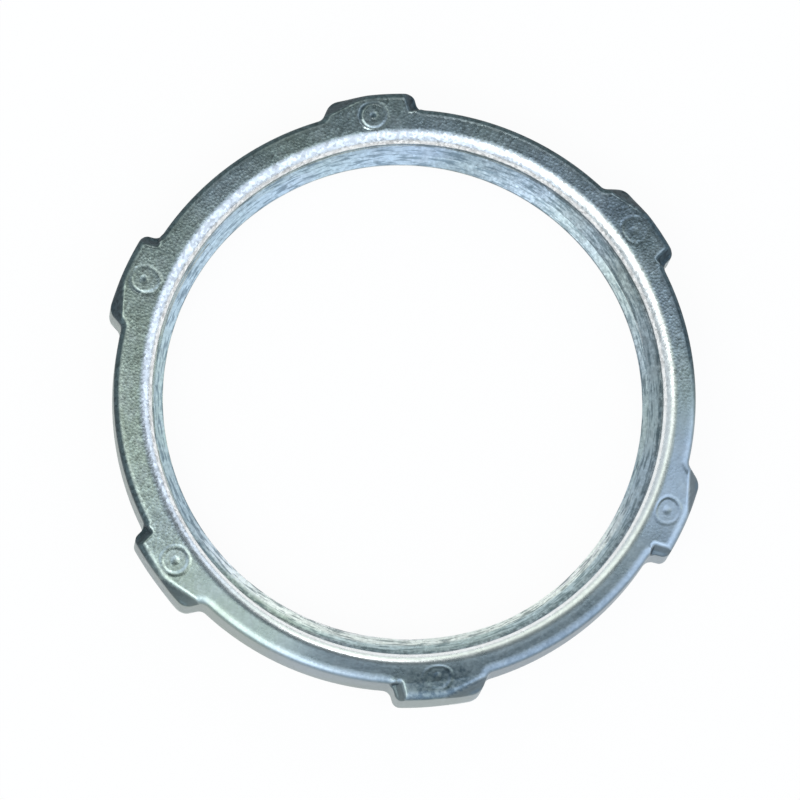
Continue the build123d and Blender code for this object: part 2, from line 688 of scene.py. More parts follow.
        # The rims are rougher; the same mask also carries their painted shade
        rough = add_node(
            tree,
            "ShaderNodeMix",
            {"data_type": "FLOAT", 3: self.sheared_roughness},
            {0: marks[Mark.ROUGH_RIM_PAINTED_SHADE], 2: shares["roughness"]},
        )
        grain_strength = add_node(
            tree, "ShaderNodeMath", {"operation": "MULTIPLY", 1: self.grain_bump}, {0: marks[Mark.GRAIN_AND_SIDE_SHADE]}
        )
        grain_bump = add_node(
            tree,
            "ShaderNodeBump",
            {"Distance": self.grain_height_mm * MM},
            {"Strength": grain_strength.outputs[0], "Height": grain.outputs["Distance"]},
        )
        peel_bump = add_node(
            tree,
            "ShaderNodeBump",
            {"Strength": self.peel_bump, "Distance": self.peel_height_mm * MM},
            {"Height": noise["peel"], "Normal": grain_bump.outputs["Normal"]},
        )
        shader = add_node(
            tree,
            "ShaderNodeBsdfPrincipled",
            {"Metallic": 1.0},
            {
                "Base Color": speckled.outputs["Vector"],
                "Roughness": rough.outputs[0],
                "Normal": peel_bump.outputs["Normal"],
            },
        )
        add_node(tree, "ShaderNodeOutputMaterial", None, {"Surface": shader.outputs["BSDF"]})
        return material


@dataclass(frozen=True)
class StudioPaper:
    """Matt white background paper. It reads as white and keeps a soft shadow."""

    paper: str = "#F4F4F4"
    glow: float = 0.94

    def material(self) -> bpy.types.Material:
        """Builds the finish.

        Returns:
            The material.
        """
        material, tree = new_material("StudioPaper")
        sheet = add_node(
            tree, "ShaderNodeBsdfDiffuse", {"Color": srgb(self.paper), "Roughness": 0.9}
        )
        white = add_node(tree, "ShaderNodeEmission", {"Color": srgb("#FFFFFF"), "Strength": 1.0})
        path = add_node(tree, "ShaderNodeLightPath").outputs
        seen = path["Is Camera Ray"]
        for ray in ("Is Glossy Ray", "Is Transmission Ray"):
            settings = {"operation": "ADD", "use_clamp": True}
            seen = add_node(tree, "ShaderNodeMath", settings, {0: seen, 1: path[ray]}).outputs[0]
        share = add_node(tree, "ShaderNodeMath", {"operation": "MULTIPLY", 1: self.glow}, {0: seen})
        mix = add_node(
            tree,
            "ShaderNodeMixShader",
            None,
            {0: share.outputs[0], 1: sheet.outputs[0], 2: white.outputs[0]},
        )
        add_node(tree, "ShaderNodeOutputMaterial", None, {"Surface": mix.outputs[0]})
        return material


@dataclass
class NutPoints:
    """The points of the nut's mesh, measured about its axis in millimetres and radians."""

    angle: np.ndarray
    radius: np.ndarray
    height: np.ndarray
    # How far past the inner edge of the face, which is a little off the axis
    outward: np.ndarray
    # How far below the crowned face, how far below its rounded rim, and how far in from the outline
    fall: np.ndarray
    under_rim: np.ndarray
    inside: np.ndarray
    # Whether the tap or the countersink cut there
    in_bore: np.ndarray


@dataclass
class Wear:
    """Painted shade and painted highlights on the nut, with its rougher rims, the tap's cut and the plating's
    grain.

    A way is a ramp in degrees round the nut from a middle direction. The other ramps are in millimetres.
    """

    # Painted shade in the roots of the thread, and little of it where the bore is brightest.
    open_at: float = 150.0
    closed_way: Ramp = Ramp(75.0, 95.0)
    open_share: float = 0.1
    root_depth: Ramp = Ramp(1.4, 1.7)
    root_share: float = 0.62
    # Painted highlight on the crests along one side, where the painted shade in the roots also reaches a
    # little higher.
    highlight_at: float = 297.0
    highlight_way: Ramp = Ramp(65.0, 50.0)
    highlight_depth: Ramp = Ramp(1.3, 1.05)
    highlight_side_root_depth: Ramp = Ramp(1.2, 1.45)
    highlight_side_root_share: float = 0.55
    # Painted shade on one stretch of the bore, from crest to root.
    shaded_stretch_at: float = 68.0
    shaded_stretch_way: Ramp = Ramp(46.0, 31.0)
    shaded_stretch_share: float = 0.42
    # Painted shade on the outer edges, which are also rougher, darkest on one side of the nut.
    shaded_side_at: float = 133.0
    shaded_side_way: Ramp = Ramp(115.0, 101.0)
    rim_fall: Ramp = Ramp(0.05, 0.30)
    shaded_side_rim_fall: Ramp = Ramp(0.02, 0.08)
    shaded_side_reach: Ramp = Ramp(1.8, 1.0)
    rim_shade_share: float = 0.5
    shaded_side_share: float = 0.97
    # Painted shade on the steps of the folded corners, between their crest and their foot.
    step_crest: Ramp = Ramp(0.25, 0.45)
    step_foot: Ramp = Ramp(2.1, 1.8)
    step_shade_share: float = 0.6
    step_margin: float = 0.12
    # Painted highlight on the shoulder, up to the face's inner edge.
    shoulder_highlight_edge: Ramp = Ramp(-0.1, -0.5)
    shoulder_margin: float = 0.05
    # Painted shade on some lugs: one value for each lug, from +X round, and one for the dish in the face.
    lug_dark_patches: tuple[float, ...] = (0.0, 0.45, 0.15, 0.0, 0.0, 0.85)
    dark_patch_way: Ramp = Ramp(10.0, 5.0)
    dark_patch_start: Ramp = Ramp(0.4, 1.6)
    dark_patch_fall: float = 0.6
    dish_shade: float = 0.5
    dish_way: Ramp = Ramp(37.0, 21.0)
    dish_start: Ramp = Ramp(0.1, 0.5)
    dish_end: Ramp = Ramp(3.0, 2.2)
    # How much the plating's grain shows, which also darkens the colour: a share in the bore, and outside it a
    # least share that grows to all on the side with painted shade.
    bore_grain: float = 0.5
    least_grain: float = 0.3

    def bore(self, nut: "Locknut", at: NutPoints) -> dict[Mark, np.ndarray]:
        """Marks the thread.

        Args:
            nut: The nut.
            at: Its points.

        Returns:
            The painted shade in the roots and the painted highlight at each point, as if all were in the bore.
        """
        deep = at.outward + nut.face_inner - nut.thread.minor_radius
        near_side = self.highlight_way.share(away(at.angle, self.highlight_at))
        closed = self.closed_way.share(away(at.angle, self.open_at))
        shown = self.open_share + (1 - self.open_share) * closed
        # Painted shade in the roots, reaching higher on the side of the painted highlight, and on one stretch
        # of the bore
        roots = (
            self.root_share * self.root_depth.share(deep) * shown,
            self.highlight_side_root_share * self.highlight_side_root_depth.share(deep) * near_side,
            self.shaded_stretch_share * self.shaded_stretch_way.share(away(at.angle, self.shaded_stretch_at)),
        )
        # Painted highlight on the crests, on one side of the bore
        highlight = self.highlight_depth.share(at.radius - nut.thread.minor_radius) * near_side
        return {Mark.PAINTED_ROOT_SHADE: np.maximum.reduce(roots), Mark.PAINTED_HIGHLIGHT: highlight}

    def outside(self, nut: "Locknut", at: NutPoints, shaded_side: np.ndarray) -> dict[Mark, np.ndarray]:
        """Marks the painted shade on the outer edges, which are also rougher, and on the steps of the folded
        corners.

        Args:
            nut: The nut.
            at: Its points.
            shaded_side: How far each point lies in the side of the nut with darker painted shade.

        Returns:
            The painted shade of the rims and of the steps at each point.
        """
        start = self.rim_fall.zero + (self.shaded_side_rim_fall.zero - self.rim_fall.zero) * shaded_side
        end = self.rim_fall.one + (self.shaded_side_rim_fall.one - self.rim_fall.one) * shaded_side
        darker = (self.shaded_side_share - self.rim_shade_share) * shaded_side * self.shaded_side_reach.share(at.fall)
        # Painted shade on the outer edges, darker on the shaded side; the same mask makes them rougher
        pressed = np.clip((at.fall - start) / (end - start), 0, 1) * (self.rim_shade_share + darker)
        rim_start = nut.outline.ring_radius - nut.rim_width
        on_edge = (at.radius > rim_start) & (at.height > nut.bearing + HAIR)
        # Painted shade on the steps, darker on the shaded side
        step = self.step_crest.share(at.fall) * self.step_foot.share(at.fall)
        step *= self.step_shade_share + (1 - self.step_shade_share) * shaded_side
        on_step = (at.radius > nut.outline.ring_radius - 0.1) & (at.under_rim > self.step_margin)
        on_step &= at.inside > HAIR
        return {
            Mark.ROUGH_RIM_PAINTED_SHADE: np.where(on_edge, pressed, 0.0),
            Mark.FOLDED_STEP_SHADE: np.where(on_step, step, 0.0),
        }

    def stain(self, nut: "Locknut", at: NutPoints) -> np.ndarray:
        """Marks painted shade on some lugs and in the dish of the face.

        Args:
            nut: The nut.
            at: Its points.

        Returns:
            The painted shade at each point.
        """
        # Painted shade on some lugs and in the dish of the face
        stain = np.zeros(len(at.angle))
        on_face = self.dark_patch_start.share(at.radius - nut.face_inner) * (at.fall < self.dark_patch_fall)
        for lug, strength in enumerate(self.lug_dark_patches):
            near = self.dark_patch_way.share(away(at.angle, math.degrees(lug * SECTOR)))
            stain += strength * near * on_face
        in_dish = self.dish_way.share(away(at.angle, nut.dished_at))
        hollow = self.dish_start.share(at.outward) * self.dish_end.share(at.outward)
        return np.maximum(stain, self.dish_shade * in_dish * hollow)

    def marks(self, nut: "Locknut", at: NutPoints) -> dict[Mark, np.ndarray]:
        """Works out all marks of the nut.

        Args:
            nut: The nut.
            at: Its points.

        Returns:
            The share at each point, by mark.
        """
        # The side of the nut with darker painted shade
        shaded_side = self.shaded_side_way.share(away(at.angle, self.shaded_side_at))
        bore = self.bore(nut, at)
        margin = self.shoulder_margin
        on_shoulder = (at.height > nut.shoulder_z + margin) & (at.outward < margin)
        # Painted highlight on the shoulder
        shoulder_highlight = np.where(on_shoulder, self.shoulder_highlight_edge.share(at.outward), 0.0)
        # The grain shows most, and darkens the colour most, on the side with painted shade
        grainy = self.least_grain + (1 - self.least_grain) * shaded_side
        return {
            Mark.PAINTED_ROOT_SHADE: np.where(at.in_bore, bore[Mark.PAINTED_ROOT_SHADE], 0.0),
            **self.outside(nut, at, shaded_side),
            Mark.PAINTED_DARK_PATCH: self.stain(nut, at),
            Mark.PAINTED_HIGHLIGHT: np.where(at.in_bore, bore[Mark.PAINTED_HIGHLIGHT], shoulder_highlight),
            Mark.CUT: np.where(at.in_bore, 1.0, 0.0),
            Mark.GRAIN_AND_SIDE_SHADE: np.where(at.in_bore, self.bore_grain, grainy),
        }


@dataclass
class Locknut:
    """The nut: a threaded ring with six lugs, in millimetres until its mesh is made."""

    top: float
    outline: LugOutline
    thread: ThreadForm
    tooth: Tooth = field(default_factory=Tooth)
    mark: PunchMark = field(default_factory=PunchMark)
    wear: Wear = field(default_factory=Wear)
    relief: float = 0.10
    relief_height: float = 0.8
    countersink_degrees: float = 38.0
    cone_crease: float = 0.08
    shoulder_round: float = 1.95
    # The upper countersink and the shoulder were cut a little off the axis, and came out oval.
    shoulder_offset: float = 0.5
    shoulder_offset_at: float = 0.0
    shoulder_oval: float = 0.19
    shoulder_oval_at: float = 106.0
    shoulder_widening: float = 0.19
    rim_width: float = 1.3
    rim_drop: float = 0.8
    ledge_rim_round: float = 0.35
    lug_crease: float = 0.22
    ring_crease: float = 0.25
    lower_chamfer: float = 0.3
    # The face falls outward, except where it is dished.
    crown_degrees: float = 3.5
    dished_degrees: float = -3.4
    dished_width: float = 3.0
    dished_at: float = 312.0
    crowned_way: Ramp = Ramp(33.0, 49.0)
    # No two strikes of a press are alike. One value for each lug, from +X round.
    strikes: tuple[float, ...] = (0.45, 0.4, 1.0, 0.7, 0.8, 0.35)
    sharp_degrees: float = 50.0
    # The mesh: its columns and rows, and where the first rows lie on the face, on a lug and below
    bore_columns: int = 360
    shoulder_rows: int = 15
    face_rows: int = 14
    rim_rows: int = 9
    lug_rows: int = 12
    wall_rows: int = 7
    under_rows: int = 11
    lower_steps: tuple[float, ...] = (0.0, 0.03, 0.08, 0.16, 0.24, 0.3, 0.36)
    under_radii: tuple[float, float] = (41.1, 39.4)
    under_margin: float = 0.5
    face_margin: float = 0.2
    lug_start: float = 0.06
    lug_start_share: float = 0.05
    lug_rim_share: float = 0.6
    long_fold_inset: float = 0.45
    long_fold_offset: float = 0.4
    long_fold_slant_degrees: float = 20.0
    short_fold_inset: float = 1.5
    folds: dict[Flank, Fold] = field(init=False)
    bearing: float = field(init=False)
    relief_radius: float = field(init=False)
    face_inner: float = field(init=False)
    shoulder_z: float = field(init=False)

    def __post_init__(self) -> None:
        """Works out the radii and the folds that follow from the sizes."""
        self.bearing = self.tooth.drop
        self.relief_radius = self.thread.minor_radius + self.thread.depth + self.relief
        self.face_inner = self.relief_radius + self.shoulder_round
        self.shoulder_z = self.top - self.shoulder_round
        reach, beyond = self.outline.lug_radius - self.face_inner, 5.0
        slant = math.radians(self.long_fold_slant_degrees)
        trailing_root = self.outline.flank(Flank.TRAILING)[0]
        leading_root, leading_tip = self.outline.flank(Flank.LEADING)
        run_to_root = (trailing_root[1] - self.long_fold_offset) / math.cos(slant)
        long_fold = Fold(
            origin=np.array([self.outline.lug_radius - self.long_fold_inset, self.long_fold_offset]),
            across=np.array([math.cos(slant), math.sin(slant)]),
            start=-run_to_root,
            end=reach + beyond,
            run=1.25,
            drop=1.7,
        )
        flank = (leading_tip - leading_root) / np.linalg.norm(leading_tip - leading_root)
        outward = np.array([flank[1], -flank[0]])
        short_fold = Fold(
            origin=leading_root - outward * self.short_fold_inset,
            across=outward,
            start=-reach - beyond,
            end=0.0,
            run=1.0,
            drop=1.3,
        )
        self.folds = {Flank.TRAILING: long_fold, Flank.LEADING: short_fold}

    @staticmethod
    def rim_fall(depth: np.ndarray, width: float, drop: float) -> np.ndarray:
        """Returns how far a rounded rim falls by the distance in from its edge."""
        short = np.clip(1 - depth / width, 0, 1)
        return drop * (1 - np.sqrt(1 - short**2))

    def crown(self, r: np.ndarray, angle: np.ndarray) -> np.ndarray:
        """Works out how far the face falls outward from the shoulder: it is crowned, and dished at one side.

        Args:
            r: Points' radius.
            angle: Their angle about the axis, in radians.

        Returns:
            How far they stand below the inner edge of the face.
        """
        share = smooth(self.crowned_way.share(away(angle, self.dished_at)))
        outward = r - self.face_inner
        dished = np.minimum(outward, self.dished_width) * math.tan(math.radians(self.dished_degrees))
        crowned = outward * math.tan(math.radians(self.crown_degrees))
        return dished + (crowned - dished) * share

    def shoulder_shift(self, angle: np.ndarray) -> np.ndarray:
        """Works out how far the upper countersink and the shoulder are shifted outward.

        Args:
            angle: Angles about the axis, in radians.

        Returns:
            The shift at each angle.
        """
        offset = self.shoulder_offset * np.cos(angle - math.radians(self.shoulder_offset_at))
        oval = self.shoulder_oval * np.cos(2 * (angle - math.radians(self.shoulder_oval_at)))
        return self.shoulder_widening + offset + oval

    def upper_surface(self, x: np.ndarray, y: np.ndarray) -> np.ndarray:
        """Works out the height of the upper side outside the shoulder.

        Args:
            x: Points' x in the sector of the lug on the +X axis.
            y: Points' y.

        Returns:
            The heights.
        """
        r = np.hypot(x, y)
        depth = self.outline.depth_inside(x, y)
        blank = -self.rim_fall(depth, self.rim_width, self.rim_drop)
        folded = np.minimum(
            self.folds[Flank.TRAILING].height(x, y), self.folds[Flank.LEADING].height(x, y)
        )
        folded = folded - self.rim_fall(depth, self.ledge_rim_round, self.ledge_rim_round)
        thin, steep = 0.001, 9.0
        lug = soft_min(blank, folded, np.clip(-np.maximum(blank, folded), thin, self.lug_crease))
        past_ring = r - self.outline.ring_radius
        ring = -self.rim_fall(-past_ring, self.rim_width, self.rim_drop)
        ring = np.where(past_ring > 0, ring - past_ring * steep, ring)
        joined = soft_max(lug, ring, np.clip(-np.maximum(lug, ring), thin, self.ring_crease))
        return self.top + joined

    def lower_surface(self, x: np.ndarray, y: np.ndarray) -> np.ndarray:
        """Works out the height of the lower side outside the countersink.

        Args:
            x: Points' x in the sector of the lug on the +X axis.
            y: Points' y.

        Returns:
            The heights.
        """
        depth = self.outline.depth_inside(x, y)
        fold = self.folds[Flank.TRAILING]
        over, along = fold.measure(x, y)
        begun = np.clip((along - fold.start) / self.tooth.fade + 0.5, 0, 1)
        tooth = self.tooth.depth(over) * begun
        share = tooth / self.tooth.drop
        broken = np.clip(self.lower_chamfer - depth, 0, None) * (1 - share)
        edge = self.rim_fall(depth, self.tooth.edge_round, self.tooth.edge_round)
        return self.bearing - tooth + broken + edge * share

    def sector(self) -> tuple[np.ndarray, np.ndarray, np.ndarray]:
        """Builds the grid of one sixth of the nut outside the bore.

        Returns:
            The x, y and z of its points. Rows run from the shoulder over the top, down the wall and back
            below, and columns run counter-clockwise.
        """
        line = self.outline.samples()
        angle = np.arctan2(line[:, 1], line[:, 0])
        out = np.hypot(line[:, 0], line[:, 1])
        ring = self.outline.ring_radius
        swing = np.radians(np.linspace(90, 0, self.rim_rows))
        ring_rows = ring - self.rim_width * (1 - np.cos(swing))
        face_start = self.face_inner + self.face_margin
        face_rows = np.linspace(face_start, ring_rows[0], self.face_rows)[:-1]
        radii = [np.full_like(out, r) for r in (*face_rows, *ring_rows)]
        length = np.clip(out - ring, 0, None)
        rim = np.minimum(self.rim_width, self.lug_rim_share * length)
        first = np.minimum(self.lug_start, self.lug_start_share * length)
        for part in np.linspace(0, 1, self.lug_rows)[:-1]:
            radii.append(ring + first + (length - rim - first) * part)
        for a in swing:
            radii.append(out - rim * (1 - np.cos(a)))
        upper = np.array(radii)
        x, y = upper * np.cos(angle), upper * np.sin(angle)
        z = self.upper_surface(x, y)
        below = [out - step for step in self.lower_steps]
        edge, tooth_end = below[-1], self.under_radii[0]
        for part in np.linspace(0, 1, self.under_rows)[1:]:
            below.append(edge + (tooth_end - edge) * part)
        for r in (self.under_radii[1], self.relief_radius + self.under_margin):
            below.append(np.full_like(out, r))
        lower = np.array(below)
        lower_x, lower_y = lower * np.cos(angle), lower * np.sin(angle)
        lower_z = self.lower_surface(lower_x, lower_y)
        wall = []
        for part in np.linspace(0, 1, self.wall_rows)[1:-1]:
            wall.append(z[-1] + (lower_z[0] - z[-1]) * part)
        wall_x = np.tile(x[-1], (len(wall), 1))
        wall_y = np.tile(y[-1], (len(wall), 1))
        return (
            np.vstack([x, wall_x, lower_x]),
            np.vstack([y, wall_y, lower_y]),
            np.vstack([z, np.array(wall), lower_z]),
        )

    def outer_shell(self) -> np.ndarray:
        """Turns the sector's grid six times round.

        Returns:
            Points by row and column, closed on itself round the nut.
        """
        x, y, z = self.sector()
        r = np.hypot(x, y)
        # The crown moves the upper side and leaves the lowest millimetre as it is.
        foot, upper_side = self.bearing + 1.0, 0.9
        high = Ramp(foot, self.top).share(z)
        turns = []
        mark = self.mark.depth(x, y) * (high > upper_side)
        face_end = self.outline.ring_radius - self.rim_width
        carried = Ramp(face_end, self.face_inner).share(r) * (z > self.shoulder_z)
        for lug, strike in enumerate(self.strikes):
            a = lug * SECTOR
            angle = np.arctan2(y, x) + a
            moved = r + self.shoulder_shift(angle) * carried
            turned_x, turned_y = moved * np.cos(angle), moved * np.sin(angle)
            crown = self.crown(moved, angle) * high
            turns.append(np.stack([turned_x, turned_y, z - crown - mark * strike], axis=2))
        return np.concatenate(turns, axis=1)

    def bore(self) -> np.ndarray:
        """Builds the grid of the countersinks, the thread and the shoulder.

        Returns:
            Points by row and column, from the lower face up to the inner edge of the flat face. The last
            column lies on the first, where each row of the thread has climbed one turn.
        """
        thread = self.thread
        angle = np.linspace(0, 2 * math.pi, self.bore_columns + 1)
        climb = thread.pitch * (angle / (2 * math.pi) + 0.5)
        spare = 2
        turns = math.ceil((self.shoulder_z - self.bearing) / thread.pitch) + spare
        slope = math.tan(math.radians(self.countersink_degrees))
        shift = self.shoulder_shift(angle)
        rows = []
        for turn in range(-spare, turns + 1):
            for key in thread.keys():
                free = self.bearing + key + turn * thread.pitch + climb
                z = np.clip(free, self.bearing, self.shoulder_z)
                from_top = np.clip(self.shoulder_z - self.relief_height - z, 0, None)
                below = self.relief_radius - (z - self.bearing) / slope
                cone = np.maximum(below, self.relief_radius + shift - from_top / slope)
                r = soft_max(cone, np.full_like(z, thread.radius(key)), self.cone_crease)
                r = np.where(free <= self.bearing, self.relief_radius, r)
                r = np.where(free >= self.shoulder_z, self.relief_radius + shift, r)
                rows.append((r, z))
        swing = np.radians(np.linspace(0, 90, self.shoulder_rows))
        fall = self.crown(self.face_inner + shift, angle)
        for a in swing:
            r = self.relief_radius + shift + self.shoulder_round * (1 - math.cos(a))
            rows.append((r, self.shoulder_z + (self.shoulder_round - fall) * math.sin(a)))
        grid = [np.stack([r * np.cos(angle), r * np.sin(angle), z], axis=1) for r, z in rows]
        return np.array(grid)

    @staticmethod
    def faces(rows: int, columns: int, first: int, closed: bool) -> list[tuple[int, ...]]:
        """Lists the quads of a grid.

        Args:
            rows: The grid's rows.
            columns: The points in a row.
            first: The number of its first point.
            closed: Whether the last column joins the first.

        Returns:
            Point numbers for each quad.
        """
        quads = []
        for row in range(rows - 1):
            for column in range(columns if closed else columns - 1):
                after = (column + 1) % columns
                a, b = first + row * columns + column, first + row * columns + after
                quads.append((a, a + columns, b + columns, b))
        return quads

    @staticmethod
    def zip_rings(
        ring_a: np.ndarray, ring_b: np.ndarray, points: np.ndarray
    ) -> list[tuple[int, ...]]:
        """Joins two rings of points about the axis with triangles.

        Args:
            ring_a: Point numbers of one ring, counter-clockwise.
            ring_b: Point numbers of the other ring, counter-clockwise.
            points: All points.

        Returns:
            Point numbers for each triangle.
        """
        lists = []
        for ring in (ring_a, ring_b):
            angle = np.arctan2(points[ring, 1], points[ring, 0]) % (2 * math.pi)
            order = np.argsort(angle, kind="stable")
            numbers, angles = list(ring[order]), list(angle[order])
            lists.append((numbers + [numbers[0]], angles + [angles[0] + 2 * math.pi]))
        (a, angle_a), (b, angle_b) = lists
        triangles, i, j = [], 0, 0
        while i < len(a) - 1 or j < len(b) - 1:
            step_a = angle_a[i + 1] if i < len(a) - 1 else math.inf
            step_b = angle_b[j + 1] if j < len(b) - 1 else math.inf
            if step_a <= step_b:
                triangles.append((a[i], a[i + 1], b[j]))
                i += 1
            else:
                triangles.append((a[i], b[j + 1], b[j]))
                j += 1
        return triangles

    def build(self) -> bpy.types.Object:
        """Builds the nut's mesh.

        Returns:
            The nut, at the place of its CAD node.
        """
        shell, bore = self.outer_shell(), self.bore()
        points = np.vstack([shell.reshape(-1, 3), bore.reshape(-1, 3)])
        rows, columns = shell.shape[:2]
        start = rows * columns
        faces = self.faces(rows, columns, 0, True)
        faces += self.faces(*bore.shape[:2], start, False)
        upper_ring = np.arange(columns)
        lower_ring = upper_ring + (rows - 1) * columns
        bore_low = start + np.arange(bore.shape[1] - 1)
        bore_high = bore_low + (bore.shape[0] - 1) * bore.shape[1]
        faces += self.zip_rings(bore_high, upper_ring, points)
        faces += self.zip_rings(bore_low, lower_ring, points)
        mesh = bpy.data.meshes.new("locknut_plated")
        mesh.from_pydata((points * MM).tolist(), [], faces)
        piece = add_object("locknut_plated", mesh)
        self.clean(mesh)
        self.shade(mesh)
        return piece

    @staticmethod
    def clean(mesh: bpy.types.Mesh) -> None:
        """Merges the points that coincide and turns all faces outward.

        Args:
            mesh: The mesh as joined.
        """
        weld_mm, sliver_mm = 0.002, 0.0005
        work = bmesh.new()
        work.from_mesh(mesh)
        bmesh.ops.remove_doubles(work, verts=work.verts, dist=weld_mm * MM)
        bmesh.ops.dissolve_degenerate(work, edges=work.edges, dist=sliver_mm * MM)
        loose = [v for v in work.verts if not v.link_faces]
        bmesh.ops.delete(work, geom=loose, context="VERTS")
        bmesh.ops.recalc_face_normals(work, faces=work.faces)
        if work.calc_volume(signed=True) < 0:
            bmesh.ops.reverse_faces(work, faces=work.faces)
        open_edges = sum(1 for e in work.edges if len(e.link_faces) != 2)
        volume = work.calc_volume() / MM**3
        log.info("%s: %d faces, %d open edges, %.0f mm3", mesh.name, len(work.faces), open_edges, volume)
        for face in work.faces:
            face.smooth = True
        work.to_mesh(mesh)
        work.free()

    def measure(self, mesh: bpy.types.Mesh) -> NutPoints:
        """Measures the mesh's points about the nut's axis.

        Args:
            mesh: The finished mesh.

        Returns:
            The points' measures.
        """
        place = np.empty(len(mesh.vertices) * 3, np.float32)
        mesh.vertices.foreach_get("co", place)
        x, y, z = (place.reshape(-1, 3) / MM).T
        r, angle = np.hypot(x, y), np.arctan2(y, x)
        local = r - self.shoulder_shift(angle)
        turn = np.round(angle / SECTOR) * SECTOR
        c, s = np.cos(turn), np.sin(turn)
        inside = self.outline.depth_inside(x * c + y * s, y * c - x * s)
        fall = self.top - self.crown(r, angle) - z
        in_bore = np.minimum(r, local) < self.relief_radius + HAIR
        return NutPoints(
            angle=angle,
            radius=r,
            height=z,
            outward=local - self.face_inner,
            fall=fall,
            under_rim=fall - self.rim_fall(inside, self.rim_width, self.rim_drop),
            inside=inside,
            in_bore=in_bore & (z > self.bearing) & (z < self.shoulder_z + HAIR),
        )

    def shade(self, mesh: bpy.types.Mesh) -> None:
        """Keeps sharp edges sharp, and writes the painted shade, the painted highlights and the marks of wear
        to the mesh for its finish.

        Args:
            mesh: The finished mesh.
        """
        mesh.set_sharp_from_angle(angle=math.radians(self.sharp_degrees))
        for mark, shares in self.wear.marks(self, self.measure(mesh)).items():
            attribute = mesh.attributes.new(mark.value, "FLOAT", "POINT")
            attribute.data.foreach_set("value", shares.astype(np.float32))

    def dress(self, piece: bpy.types.Object, finish: ZincPlate) -> None:
        """Gives the nut its finish and its place in the frame.

        Args:
            piece: The nut.
            finish: Its plating.
        """
        piece.data.materials.append(finish.material())
        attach(piece, "root")
        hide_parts("locknut")


@dataclass(frozen=True)
class Softbox:
    """A square lamp that faces the nut. Its direction is in degrees, its sizes in metres and watts."""

    name: str
    toward: float
    from_zenith: float
    size: float
    power: float
    distance: float = 0.9


